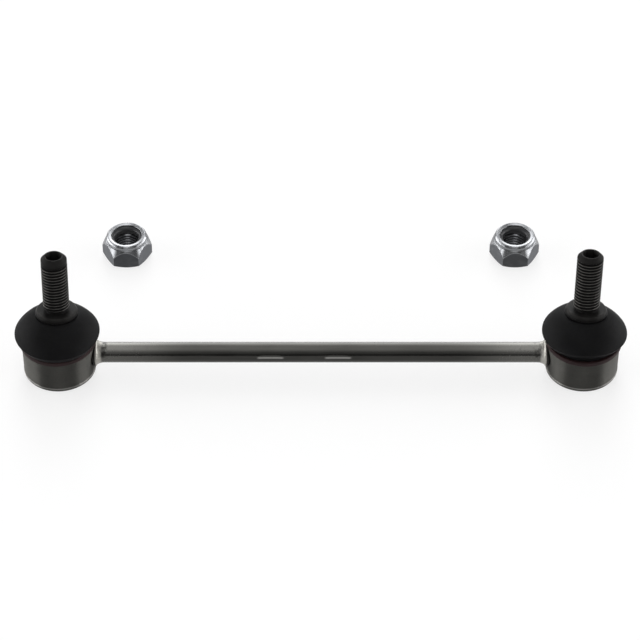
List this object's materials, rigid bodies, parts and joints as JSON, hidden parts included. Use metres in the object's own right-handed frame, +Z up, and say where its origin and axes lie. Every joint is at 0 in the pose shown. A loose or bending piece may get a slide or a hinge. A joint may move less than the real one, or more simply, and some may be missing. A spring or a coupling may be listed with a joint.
{
  "type": "stabilizer link",
  "caption": "Straight steel rod welded to round housings, with a rubber-booted ball joint and threaded stud at each end and loose lock nuts; ties a stabilizer bar to a strut.",
  "frame": {"origin": "middle of the left housing's flat underside, on the floor that the link stands on", "axes": "+X along the rod from the left joint to the right one, +Y to the back, where the nuts lie, +Z up, away from the floor"},
  "size_m": [0.23, 0.0905, 0.052],
  "materials": {
    "rod_steel": "bare drawn steel, satin, lightly pitted",
    "weld_steel": "bare steel squeezed out by the weld",
    "housing_steel": "bare turned steel, satin",
    "cap_steel": "bare pressed steel",
    "seat_plastic": "moulded acetal plastic",
    "clamp_plastic": "dark maroon moulded ring",
    "boot_rubber": "satin black rubber",
    "ring_steel": "plain steel",
    "stud_steel": "black phosphate coating, lightly oiled",
    "nut_zinc": "bright zinc plating",
    "insert_plastic": "dark grey nylon"
  },
  "bodies": {
    "link": {"rod": "rod_steel", "left_weld_ring": "weld_steel", "right_weld_ring": "weld_steel", "left_housing": "housing_steel", "right_housing": "housing_steel", "left_ball_seat": "seat_plastic", "right_ball_seat": "seat_plastic", "left_end_cap": "cap_steel", "right_end_cap": "cap_steel", "left_clamp_ring": "clamp_plastic", "right_clamp_ring": "clamp_plastic"},
    "left_boot_body": {"left_boot": "boot_rubber"},
    "left_ring_body": {"left_slide_ring": "ring_steel"},
    "left_stud_body": {"left_ball_stud": "stud_steel"},
    "left_nut_body": {"left_nut": "nut_zinc", "left_nut_insert": "insert_plastic"},
    "right_boot_body": {"right_boot": "boot_rubber"},
    "right_ring_body": {"right_slide_ring": "ring_steel"},
    "right_stud_body": {"right_ball_stud": "stud_steel"},
    "right_nut_body": {"right_nut": "nut_zinc", "right_nut_insert": "insert_plastic"}
  },
  "joints": [
    {"name": "left_stud_swing", "type": "hinge", "parent": "link", "child": "left_boot_body", "pos_m": [0, 0, 0.0093], "axis": [0, 0, 1], "continuous": true},
    {"name": "left_stud_tilt", "type": "hinge", "parent": "left_boot_body", "child": "left_ring_body", "pos_m": [0, 0, 0.0093], "axis": [-0.998, 0.0626, 0], "range_deg": [-26, 10], "deforming": ["left_boot"]},
    {"name": "left_stud_spin", "type": "hinge", "parent": "left_ring_body", "child": "left_stud_body", "pos_m": [0, 0, 0.0093], "axis": [0.0087, 0.1392, 0.9902], "continuous": true},
    {"name": "left_nut_lift", "type": "slide", "parent": "link", "child": "left_nut_body", "axis": [0, 0, 1], "range_m": [0, 0.06]},
    {"name": "right_stud_swing", "type": "hinge", "parent": "link", "child": "right_boot_body", "pos_m": [0.198, 0, 0.0093], "axis": [0, 0, 1], "continuous": true},
    {"name": "right_stud_tilt", "type": "hinge", "parent": "right_boot_body", "child": "right_ring_body", "pos_m": [0.198, 0, 0.0093], "axis": [-0.995, 0.1, 0], "range_deg": [-28, 8], "deforming": ["right_boot"]},
    {"name": "right_stud_spin", "type": "hinge", "parent": "right_ring_body", "child": "right_stud_body", "pos_m": [0.198, 0, 0.0093], "axis": [0.0175, 0.1736, 0.9847], "continuous": true},
    {"name": "right_nut_lift", "type": "slide", "parent": "link", "child": "right_nut_body", "axis": [0, 0, 1], "range_m": [0, 0.06]}
  ]
}
